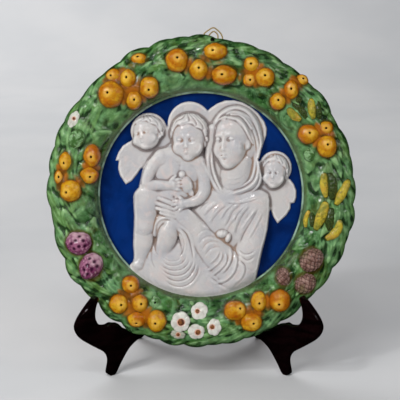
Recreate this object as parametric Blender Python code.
"""Round glazed ceramic wall plaque on a two-board plate stand.

A ring of leaves, fruit, flowers and cones surrounds a blue field with a white figure relief. The plaque
leans back in the grooves of two slotted boards. Lengths below are in millimetres.
"""

import math

import bpy
import numpy as np

MM = 0.001

# plaque: x to the right, v up the plaque's face, w out of its back plane
FIELD_RADIUS = 87.0
FIELD_DROP = 3.0            # the field's centre lies below the plaque's
FIELD_W = 9.0               # field's surface above the back plane
RING_CREST = 25.0           # crest of the leaf ring
RIM_RADIUS = 129.8          # rim between the leaf tips
RIM_W = 8.0                 # height of the rim's outer edge
BACK_FLAT = (92.0, 124.0)   # flat ring on the back that the plaque hangs and leans on
BACK_RECESS = 4.0
PLAQUE_FACES = 7600         # triangles kept on the plaque

LEAN = math.radians(14.0)
CENTRE_Z = 152.6            # height of the plaque's centre on its back plane

HOLE = (9.6, 127.0, 3.6)    # hanging hole: x, v, diameter
CORD_DIAMETER = 1.2

# stand: each board stands in an upright plane turned by SPREAD from straight ahead
SPREAD = math.radians(55.0)
CROSSING_Y = 14.0
BOARD = 6.0
STAND_X = -1.8             # the stand's middle, a little left of the plaque's
LAP_Z = 48.0                # height where the two half-laps meet
LAP_GAP = 0.4
REST_GAP = 0.6              # between the boards and the plaque's back plane

# leaf tips along the rim: degrees clockwise from the top, reach beyond the rim
RIM_TIPS = [(-8, 2.6), (0, 2.4), (12, 0.8), (27, 2.0), (38, 1.0), (47, 1.2), (53, 2.2), (65, 1.6), (77, 1.5),
            (90, 1.8), (101, 2.6), (108, 1.8), (115, 2.2), (126, 2.3), (133, 1.2), (144, 1.4), (160, 1.6),
            (168, 1.8), (182, 2.9), (191, 3.3), (206, 4.2), (216, 3.4), (226, 0.9), (236, 2.9), (248, 3.0),
            (257, 1.5), (270, 2.9), (282, 2.2), (289, 2.9), (299, 2.8), (308, 0.8), (315, 1.3), (324, 1.0),
            (334, 3.2), (346, 3.0)]

# fruit: centre x, v and full width, height
FRUIT = [(-51.9, 110.3, 12.5, 9.4), (-73, 96.5, 12.8, 10.6), (-61.3, 93.8, 12.8, 15.3),
         (-75.6, 80.6, 20.4, 21.3), (-56.5, 76.2, 12.8, 15.3), (-43.4, 86.5, 15.3, 17.5),
         (-20, 109, 17.9, 18.7), (-1.9, 101.3, 15, 16.2), (12, 116.4, 19.2, 13.8),
         (19.2, 96.8, 20.2, 15.7), (42.1, 105.6, 12.5, 12.5), (40.6, 92.8, 10.2, 11),
         (53.8, 94.9, 15.3, 15.3), (84.7, 92.6, 11, 9.4), (75.7, 84.3, 11.9, 15.7),
         (64.5, 74.7, 12.8, 13.6), (90, 47.1, 17, 15.3), (105.1, 52.4, 11, 11),
         (105.6, 36.9, 15.7, 17.9), (-91.5, 29.1, 13.6, 17.9), (-113.5, 24.4, 10.7, 15.3),
         (-94.2, 12.7, 14.9, 13.6), (-119.1, 11, 7.7, 11.9), (-109.4, -0.3, 17, 17.9),
         (-59.3, -79.2, 14.5, 14.5), (-68.7, -95.2, 15.3, 15.3), (-51.2, -94.9, 12.8, 14.5),
         (-53.7, -107.9, 15.3, 12.8), (-37.4, -109.5, 15.3, 17.4), (-38.5, -94.1, 10, 10),
         (28.6, -101, 17.9, 16.2), (42.2, -110.3, 17, 15.3), (48.6, -93.2, 12.8, 16.2),
         (66.1, -92.5, 17, 17.9), (-104.2, 43.2, 13.6, 17), (91.1, 30, 10, 12)]
BLOSSOMS = [(-103.5, -45.7, 19.6, 20.8), (-92.9, -63.4, 19.6, 19.6)]
CONES = [(92.7, -58.6, 17, 19.6), (69, -72.7, 11.5, 13.6), (87.5, -78, 16.2, 16.2)]
DAISIES = [(-17.1, -110.3, 16.5), (-1.3, -101.4, 14.5), (-3.4, -118.9, 13.6), (10.7, -114.6, 13.2),
           (-107, 59.6, 11)]
# pods: points x, v along the middle, then the width
PODS = [([(73.5, 68.7), (78, 65), (81.5, 59.4)], 7), ([(91.8, 79), (93.8, 69.4), (93.9, 59.4)], 6.5),
        ([(103.9, 15.1), (102.8, 3.6), (104.5, -6.6)], 6),
        ([(123, 7.6), (118.7, -2.3), (112.1, -11.7)], 6),
        ([(103.9, -11.7), (101, -22), (95.2, -32.8)], 6.5),
        ([(114.4, -25.9), (112.3, -33.8), (104.4, -40.1)], 6)]

HALOS = [(-44.5, 48.5, 18.7), (-9.5, 49.0, 27.0), (27.0, 48.0, 29.4), (63.0, 18.7, 15.0)]
LEFT_WING = [(-52, 46), (-62.2, 40.8), (-71, 31), (-73.2, 25.4), (-70.6, 24.9), (-69.4, 12), (-64, 5),
             (-59, 7.6), (-50.9, 18.7), (-40, 32)]
RIGHT_WING = [(62, 12), (75.7, 10.5), (81.6, -3), (80.3, -10.6), (76.6, -16.6), (65.2, -28.4),
              (59.4, -16.5), (52, 0)]
BODY = [(-46, 22), (-50.4, 15), (-53.2, 2), (-57.8, -5), (-56.6, -22), (-58.2, -46), (-57, -60),
        (-62, -72), (-40, -96), (0, -104), (40, -98), (46.8, -75), (53, -49), (57.8, -25), (58.4, -8),
        (50, 24), (40, 40), (10, 52), (-36, 38)]

# round masses of the figures: points x, v, height above the field, radius
CLOTH = [[(49, -8, 1.5, 10), (49.5, -28, 1.5, 11), (45, -50, 2, 12), (28, -78, 2, 13)],
         [(33, -72, 3, 13), (20, -60, 4, 11.5), (8, -46, 5.5, 9.5), (-4, -31, 7, 6.5)],
         [(44, 52, 3, 6), (46.5, 36, 2, 7), (44, 2, 1, 9), (20, -8, 3, 4)],
         [(9, 54, 3, 4), (9.5, 20, 3.5, 4.4), (20, -6, 5, 3.6)]]
CHILD = [[(-19, 20, 3, 17), (-24, 6, 4, 16.5), (-29, -6, 4.5, 15.5)],
         [(-43, -6, 3, 12.5), (-48.5, -34, 3, 8), (-52, -56, 2.4, 5.4), (-55, -66, 2.4, 4.6)],
         [(-32, -12, 4.5, 12), (-29.5, -33, 5.5, 8), (-33.5, -55, 2.8, 5.2)],
         [(-40, 29, 6, 7.5), (-47, 8, 6.8, 6), (-45, 1.5, 8.6, 5.2), (-29, 3.2, 11, 4.2),
          (-19, 6.5, 11, 3.6)],
         [(-4, 27, 5, 8), (4.5, 9, 6, 6.2), (3, -3, 8, 5.4), (-10, -9, 10.4, 4), (-18, -11, 10, 3)],
         [(-7, -28, 9, 6.4), (-15, -21, 9.8, 6.6), (-34, -12, 8.6, 4.6)],
         [(27, -45, 9, 4.6), (14, -41, 9, 4)]]
# heads: centre x, v, width, height, base height above the field, depth
HEADS = [(-9.4, 46.7, 31, 38, 3, 13), (26.1, 41, 31, 44, 3, 12), (-46.5, 48, 26, 27, 2, 9),
         (62.6, 15, 25, 30, 2, 9)]
MOUNDS = [(28, -16, 72, 54, 1.5, 9), (-6, -72, 124, 68, 1, 7.5), (28.5, 43, 43, 55, 1.5, 9.5)]

# outline of a stand board in its own plane: distance s forward of the crossing, height z
LIP = [(57.7, 31.5), (65.8, 27.3), (73.9, 21.9), (79.8, 14.5), (84.6, 7.2), (87.6, 2.0)]
FOOT = [(89.8, 0.0), (93.6, 0.0)]
HOOK = [(95.4, 1.4), (95.6, 4.0), (94.2, 10.0), (94.2, 15.6), (97.6, 21.2), (106.3, 27.2),
        (116.6, 34.4), (122.4, 40.0), (125.6, 46.6), (125.0, 52.2), (121.0, 58.7), (114.6, 65.8),
        (108.8, 71.4), (105.8, 73.1), (104.0, 70.6), (106.4, 65.5), (107.8, 58.5), (107.3, 53.0),
        (104.6, 48.3), (100.5, 46.0), (96.0, 45.4)]
UPRIGHT = [(29.0, 122.5), (25.0, 125.5), (20.5, 123.0), (17.5, 110.0), (12.5, 92.0), (4.0, 75.0),
           (-14.0, 57.0), (-36.0, 43.0), (-56.0, 27.0), (-71.0, 9.0), (-76.0, 1.6)]
HEEL = [(-75.5, 0.0), (-66.0, 0.0)]
ARCH = [(-62.0, 4.0), (-52.0, 13.0), (-38.0, 21.0), (-18.0, 27.0), (6.0, 31.0), (30.0, 33.6), (48.0, 33.6)]


def clear_scene():
    for item in list(bpy.data.objects):
        bpy.data.objects.remove(item, do_unlink=True)


def material(name, colour, roughness):
    made = bpy.data.materials.new(name)
    made.use_nodes = True
    shader = made.node_tree.nodes["Principled BSDF"]
    shader.inputs["Base Color"].default_value = (*colour, 1.0)
    shader.inputs["Roughness"].default_value = roughness
    shader.inputs["Metallic"].default_value = 0.0
    return made


# ---------------------------------------------------------------- curves and heights
def smooth_curve(points, steps):
    """Catmull-Rom curve through the points, with any number of columns."""
    p = np.array(points, float)
    p = np.vstack([2 * p[0] - p[1], p, 2 * p[-1] - p[-2]])
    out = []
    for a, b, c, d in zip(p, p[1:], p[2:], p[3:]):
        for i in range(steps):
            t = i / steps
            cubic = (2 * a - 5 * b + 4 * c - d) * t * t + (3 * b - a - 3 * c + d) * t ** 3
            out.append(0.5 * (2 * b + (c - a) * t + cubic))
    out.append(p[-2])
    return np.array(out)


def nearest(x, v, path):
    """Distance to a polyline and the place of the nearest point along it."""
    best = np.full(x.shape, 1e9)
    place = np.zeros(x.shape)
    for i, (a, b) in enumerate(zip(path, path[1:])):
        dx, dv = b[0] - a[0], b[1] - a[1]
        t = np.clip(((x - a[0]) * dx + (v - a[1]) * dv) / (dx * dx + dv * dv + 1e-12), 0, 1)
        d = np.hypot(x - a[0] - t * dx, v - a[1] - t * dv)
        closer = d < best
        best = np.where(closer, d, best)
        place = np.where(closer, i + t, place)
    return best, place


def inside_distance(x, v, outline):
    """Distance to a closed outline, positive inside it."""
    loop = np.array(outline + outline[:1], float)
    d, _ = nearest(x, v, loop)
    inside = np.zeros(x.shape, bool)
    for (ax, av), (bx, bv) in zip(loop, loop[1:]):
        if av != bv:
            inside ^= ((av > v) != (bv > v)) & (x < (bx - ax) * (v - av) / (bv - av) + ax)
    return np.where(inside, d, -d)


def pillow(d, height, width):
    """A rounded plateau, full height at d = width inside its edge."""
    return np.where(d > 0, height * np.sqrt(1 - (1 - np.clip(d / width, 0, 1)) ** 2), -50)


def limb(x, v, points, flat=0.75):
    """Top of a round limb through points (x, v, height, radius)."""
    path = smooth_curve(points, 5)
    d, place = nearest(x, v, path)
    i = np.clip(place.astype(int), 0, len(path) - 2)
    t = place - i
    height = path[i, 2] * (1 - t) + path[i + 1, 2] * t
    radius = path[i, 3] * (1 - t) + path[i + 1, 3] * t
    q = radius ** 2 - d ** 2
    return np.where(q > 0, height + flat * np.sqrt(np.maximum(q, 0)), -50)


def mound(x, v, cx, cv, width, tall, height, depth):
    """Top of an upright ellipsoid given by its full width and height."""
    q = 1 - (2 * (x - cx) / width) ** 2 - (2 * (v - cv) / tall) ** 2
    return np.where(q > 0, height + depth * np.sqrt(np.maximum(q, 0)), -50)


# ---------------------------------------------------------------- plaque
def figure_height(x, v):
    """Height of the white relief above the field; -50 outside it."""
    edge = np.full(x.shape, -1e9)
    for cx, cv, radius in HALOS:
        edge = np.maximum(edge, radius - np.hypot(x - cx, v - cv))
    for outline in (LEFT_WING, RIGHT_WING, BODY):
        edge = np.maximum(edge, inside_distance(x, v, outline))
    top = pillow(edge, 2.2, 1.6)
    cap = pillow(edge, 13.0, 8.0)
    for points in CLOTH + CHILD[:3]:
        top = np.maximum(top, np.minimum(limb(x, v, points), cap))
    for values in MOUNDS:
        top = np.maximum(top, np.minimum(mound(x, v, *values), cap))
    for points in CHILD[3:]:
        top = np.maximum(top, limb(x, v, points))
    for values in HEADS:
        top = np.maximum(top, mound(x, v, *values))
    inner = FIELD_RADIUS - np.hypot(x, v + FIELD_DROP)
    border = np.where(inner > 0, 1.5 + 1.5 * inner, -50)
    return np.where(top > -10, np.minimum(top, border), top)


def rim_radius(angle):
    """Outer radius at an angle clockwise from the top, with a bump at each leaf tip."""
    reach = np.zeros(angle.shape)
    degrees = np.degrees(angle)
    for place, bump in RIM_TIPS:
        off = (degrees - place + 180.0) % 360.0 - 180.0
        reach = np.maximum(reach, bump * np.clip(1 - (off / 6.0) ** 2, 0, 1))
    return RIM_RADIUS + reach


def field_radius(angle):
    """Distance from the plaque's centre to the edge of the lowered field."""
    down = -np.cos(angle) * FIELD_DROP
    side = np.sin(angle) * FIELD_DROP
    return down + np.sqrt(FIELD_RADIUS ** 2 - side ** 2)


def ring_height(t):
    """Section of the leaf ring from its inner edge (t = 0) to the rim (t = 1)."""
    inner = FIELD_W + (RING_CREST - FIELD_W) * np.sqrt(1 - np.clip((0.48 - t) / 0.5, 0, 1) ** 2)
    outer = RIM_W + (RING_CREST - RIM_W) * np.sqrt(1 - np.clip((t - 0.48) / 0.52, 0, 1) ** 2)
    return np.where(t < 0.48, inner, outer)


def leaves():
    """Leaves as (base x, base v, tip x, tip v, width): an outer, a middle and an inner row."""
    def at(degrees, radius):
        return radius * math.sin(math.radians(degrees)), radius * math.cos(math.radians(degrees))

    rows = []
    for i in range(24):
        turn = 15 * i + 4 * math.sin(2.3 * i)
        start = at(turn, 103 + 3 * math.sin(1.7 * i))
        rows.append((*start, *at(turn + 13, 114 + 3 * math.sin(2.9 * i)), 13.0))
    for i in range(30):
        turn = 12 * i + 3 * math.sin(1.9 * i)
        rows.append((*at(turn, 110), *at(turn + 8, 92 + 1.5 * math.sin(3.1 * i)), 13.5))
    for place, bump in RIM_TIPS:
        rows.append((*at(place - 8, 108), *at(place, RIM_RADIUS + bump - 0.6), 15.0))
    return rows


def leaf_height(x, v, leaf):
    """Height of one leaf over the ring, -50 outside it; it rises towards its tip."""
    bx, bv, tx, tv, width = leaf
    length = math.hypot(tx - bx, tv - bv)
    ux, uv = (tx - bx) / length, (tv - bv) / length
    along = ((x - bx) * ux + (v - bv) * uv) / length
    across = (v - bv) * ux - (x - bx) * uv
    shape = np.clip(along, 0, 1) ** 0.55 * np.clip(1 - along, 0, 1) ** 0.7 / 0.424
    half = 0.5 * width * shape
    inside = (along > 0) & (along < 1) & (np.abs(across) < half)
    side = across / np.maximum(half, 0.1)
    return np.where(inside, 0.5 + 1.6 * along - 0.7 * side ** 2, -50)


def ring_details(x, v, base):
    """Leaves, fruit, flowers, cones and pods standing on the ring."""
    top = base.copy()
    for leaf in leaves():
        top = np.maximum(top, base + leaf_height(x, v, leaf))
    for cx, cv, width, tall in FRUIT + BLOSSOMS + CONES:
        depth = 0.28 * (width + tall)
        top = np.maximum(top, standing(x, v, cx, cv, width, tall, depth))
    for cx, cv, width in DAISIES:
        top = np.maximum(top, standing(x, v, cx, cv, width, width, 3.4))
        top = np.maximum(top, standing(x, v, cx, cv, width * 0.35, width * 0.35, 4.6))
    for points, width in PODS:
        spine = [(px, pv, level(px, pv) + 0.5, width / 2) for px, pv in points]
        top = np.maximum(top, limb(x, v, spine, 1.1))
    return top


def level(x, v):
    """Height of the bare ring under a point."""
    angle = math.atan2(x, v)
    inner = float(field_radius(np.array(angle)))
    outer = float(rim_radius(np.array(angle)))
    t = (math.hypot(x, v) - inner) / (outer - inner)
    return float(ring_height(np.array(np.clip(t, 0, 1))))


def standing(x, v, cx, cv, width, tall, depth):
    """A rounded lump that stands on the ring."""
    return mound(x, v, cx, cv, width, tall, level(cx, cv) - 0.5, depth)


def plaque_rings():
    """Rows of (x, v, w) from the middle of the front, over the rim, to the middle of the back."""
    angle = np.linspace(0, 2 * math.pi, 420, endpoint=False)
    inner = field_radius(angle)
    outer = rim_radius(angle)
    rows = []
    for part in np.linspace(0.02, 1.0, 52):
        radius = part * inner
        x, v = radius * np.sin(angle), radius * np.cos(angle)
        rows.append(np.stack([x, v, FIELD_W + np.maximum(figure_height(x, v), 0)], 1))
    for t in np.linspace(0.02, 1.0, 36):
        radius = inner + t * (outer - inner)
        x, v = radius * np.sin(angle), radius * np.cos(angle)
        w = ring_details(x, v, ring_height(np.full(x.shape, t)))
        if t == 1.0:
            w = np.full(x.shape, RIM_W)
        rows.append(np.stack([x, v, w], 1))
    flat_in, flat_out = BACK_FLAT
    slope = ((outer - 1.2, 4.0), (outer - 5.0, 0.8))
    back = (*slope, (flat_out, 0.0), (flat_in, 0.0), (flat_in - 4, BACK_RECESS))
    for radius, w in back:
        radius = radius * np.ones(angle.shape)
        rows.append(np.stack([radius * np.sin(angle), radius * np.cos(angle), np.full(angle.shape, w)], 1))
    return rows


def to_world(points):
    """Plaque coordinates (x, v, w) to the stand's frame, leaning back by LEAN."""
    x, v, w = np.asarray(points, float).T
    y = v * math.sin(LEAN) - w * math.cos(LEAN)
    z = CENTRE_Z + v * math.cos(LEAN) + w * math.sin(LEAN)
    return np.stack([x, y, z], 1) * MM


def make_plaque(glaze):
    rows = plaque_rings()
    count = len(rows[0])
    front_middle = (0, 0, FIELD_W + figure_height(np.zeros(1), np.zeros(1))[0])
    points = np.vstack([[front_middle], *rows, [(0, 0, BACK_RECESS)]])
    last = len(points) - 1
    faces = []
    for i in range(count):
        j = (i + 1) % count
        faces.append((0, 1 + j, 1 + i))
        for row in range(len(rows) - 1):
            a, b = 1 + row * count, 1 + (row + 1) * count
            faces.append((a + i, a + j, b + j, b + i))
        end = 1 + (len(rows) - 1) * count
        faces.append((end + i, end + j, last))
    mesh = bpy.data.meshes.new("plaque")
    mesh.from_pydata(to_world(points).tolist(), [], faces)
    mesh.materials.append(glaze)
    plaque = bpy.data.objects.new("plaque", mesh)
    bpy.context.collection.objects.link(plaque)
    triangles = 2 * count * len(rows)
    reduce = plaque.modifiers.new("reduce", "DECIMATE")
    reduce.ratio = PLAQUE_FACES / triangles
    reduce.use_collapse_triangulate = True
    drill = hole_cutter()
    bore = plaque.modifiers.new("hanging hole", "BOOLEAN")
    bore.operation = "DIFFERENCE"
    bore.object = drill
    mesh.shade_smooth()
    return plaque


def cutter(name, points, faces):
    mesh = bpy.data.meshes.new(name)
    mesh.from_pydata(points, [], faces)
    item = bpy.data.objects.new(name, mesh)
    item.hide_render = True
    item.display_type = "WIRE"
    bpy.context.collection.objects.link(item)
    return item


def hole_cutter():
    """A round bar through the rim, along the plaque's own axis."""
    cx, cv, diameter = HOLE
    sides = 16
    points = []
    for w in (-20.0, 60.0):
        for i in range(sides):
            turn = 2 * math.pi * i / sides
            points.append((cx + 0.5 * diameter * math.cos(turn), cv + 0.5 * diameter * math.sin(turn), w))
    faces = [tuple(range(sides))[::-1], tuple(range(sides, 2 * sides))]
    faces += [(i, (i + 1) % sides, sides + (i + 1) % sides, sides + i) for i in range(sides)]
    return cutter("hole_cutter", to_world(points).tolist(), faces)


# ---------------------------------------------------------------- stand
def rim_bottom(low, high):
    """Height of the lowest part of the plaque's rim between two x positions."""
    angle = np.linspace(math.radians(120), math.radians(240), 481)
    x, v = rim_radius(angle) * np.sin(angle), rim_radius(angle) * np.cos(angle)
    under = (x > low - 2.0) & (x < high + 2.0)
    return CENTRE_Z + v[under].min() * math.cos(LEAN) + 1.6


def ledge(hand):
    """The board's top edge under the rim and then up the plaque's back, kept clear of the plaque."""
    points = []
    for s in (92.0, 88.5, 85.0, 81.5, 78.0, 74.5):
        middle = hand * s * math.sin(SPREAD) + STAND_X
        half = 0.5 * BOARD * math.cos(SPREAD)
        sides = (middle - half, middle + half)
        points.append((s, rim_bottom(min(sides), max(sides)) - REST_GAP))
    for z in (38.5, 60.0, 90.0, 117.0):
        behind = CROSSING_Y - 0.5 * BOARD * math.sin(SPREAD) - (z - CENTRE_Z) * math.tan(LEAN) - REST_GAP
        points.append((behind / math.cos(SPREAD), z))
    return points


def board_outline(hand):
    corners = [smooth_curve(LIP, 2), np.array(FOOT), smooth_curve(HOOK, 2), np.array(ledge(hand)),
               smooth_curve(UPRIGHT, 2), np.array(HEEL), smooth_curve(ARCH, 2)]
    return np.vstack(corners)


def board_point(s, side, z, hand):
    """A board's point, s forward and side across its thickness; hand is -1 for left and 1 for right."""
    x = hand * (s * math.sin(SPREAD) + side * math.cos(SPREAD)) + STAND_X
    y = CROSSING_Y - s * math.cos(SPREAD) + side * math.sin(SPREAD)
    return x * MM, y * MM, z * MM


def lap_cutter(name, hand, low, high):
    """A block along the board of the given hand, a little thicker than it, between two heights."""
    points = []
    half = 0.5 * BOARD + LAP_GAP
    for z in (low, high):
        for s, side in ((-60, -half), (60, -half), (60, half), (-60, half)):
            points.append(board_point(s, side, z, hand))
    faces = [(3, 2, 1, 0), (4, 5, 6, 7), (0, 1, 5, 4), (1, 2, 6, 5), (2, 3, 7, 6), (3, 0, 4, 7)]
    if hand < 0:
        faces = [face[::-1] for face in faces]
    return cutter(name, points, faces)


def make_board(name, hand, lacquer):
    outline = board_outline(hand)
    count = len(outline)
    points = [board_point(s, -0.5 * BOARD, z, hand) for s, z in outline]
    points += [board_point(s, 0.5 * BOARD, z, hand) for s, z in outline]
    faces = [tuple(range(count)), tuple(range(count, 2 * count))[::-1]]
    faces += [(i, count + i, count + (i + 1) % count, (i + 1) % count) for i in range(count)]
    if hand < 0:
        faces = [face[::-1] for face in faces]
    mesh = bpy.data.meshes.new(name)
    mesh.from_pydata(points, [], faces)
    mesh.materials.append(lacquer)
    board = bpy.data.objects.new(name, mesh)
    bpy.context.collection.objects.link(board)
    low, high = (LAP_Z - 0.5 * LAP_GAP, 300) if hand < 0 else (-50, LAP_Z + 0.5 * LAP_GAP)
    slot = board.modifiers.new("half lap", "BOOLEAN")
    slot.operation = "DIFFERENCE"
    slot.object = lap_cutter("lap_cutter_" + name, -hand, low, high)
    mesh.shade_smooth()
    mesh.set_sharp_from_angle(angle=math.radians(35))
    return board


# ---------------------------------------------------------------- cord
def make_cord(yarn):
    """Two turns of stiff cord: both ends enter the hole from the back, and the arches stand over the rim."""
    cx, cv, _ = HOLE
    route = [(cx - 0.8, cv, 5.4), (cx - 0.8, cv, 3.6), (cx - 1.1, cv, 1.5), (cx - 3.2, cv + 0.6, -1.6),
             (cx - 7.2, cv + 3.2, -2.6), (cx - 7.0, cv + 7.2, -2.0), (cx - 3.4, cv + 10.4, -1.4),
             (cx + 1.0, cv + 12.6, -1.1), (cx + 4.8, cv + 10.4, -1.5), (cx + 8.0, cv + 6.8, -2.2),
             (cx + 8.8, cv + 2.4, -3.2), (cx + 4.8, cv - 1.8, -4.6), (cx - 1.4, cv - 1.4, -5.2),
             (cx - 4.0, cv + 2.8, -5.0), (cx - 2.2, cv + 7.0, -4.6), (cx + 1.4, cv + 9.8, -4.2),
             (cx + 4.6, cv + 7.2, -4.0), (cx + 4.8, cv + 3.2, -3.0), (cx + 2.6, cv + 0.6, -1.2),
             (cx + 0.9, cv, 1.8), (cx + 0.8, cv, 3.6), (cx + 0.8, cv, 5.4)]
    points = to_world(smooth_curve(route, 3))
    curve = bpy.data.curves.new("hanging_cord", "CURVE")
    curve.dimensions = "3D"
    curve.bevel_depth = 0.5 * CORD_DIAMETER * MM
    curve.bevel_resolution = 2
    curve.use_fill_caps = True
    spline = curve.splines.new("POLY")
    spline.points.add(len(points) - 1)
    for item, place in zip(spline.points, points):
        item.co = (*place, 1.0)
    curve.materials.append(yarn)
    cord = bpy.data.objects.new("hanging_cord", curve)
    bpy.context.collection.objects.link(cord)
    return cord


def centre_on_base(solids):
    """Move everything so the origin lies under the middle of the solids' box."""
    bpy.context.view_layer.update()
    depsgraph = bpy.context.evaluated_depsgraph_get()
    low, high = np.full(3, 1e9), np.full(3, -1e9)
    for item in solids:
        mesh = item.evaluated_get(depsgraph).to_mesh()
        places = np.array([item.matrix_world @ vertex.co for vertex in mesh.vertices])
        low, high = np.minimum(low, places.min(axis=0)), np.maximum(high, places.max(axis=0))
    shift = (-0.5 * (low[0] + high[0]), -0.5 * (low[1] + high[1]), -low[2])
    for item in bpy.data.objects:
        item.location = shift
    bpy.context.view_layer.update()


def build():
    clear_scene()
    glaze = material("majolica_glaze", (0.06, 0.20, 0.10), 0.25)
    lacquer = material("black_lacquer", (0.006, 0.004, 0.005), 0.2)
    yarn = material("cord", (0.36, 0.28, 0.15), 0.6)
    plaque = make_plaque(glaze)
    left = make_board("stand_left", -1, lacquer)
    right = make_board("stand_right", 1, lacquer)
    make_cord(yarn)
    centre_on_base([plaque, left, right])


build()
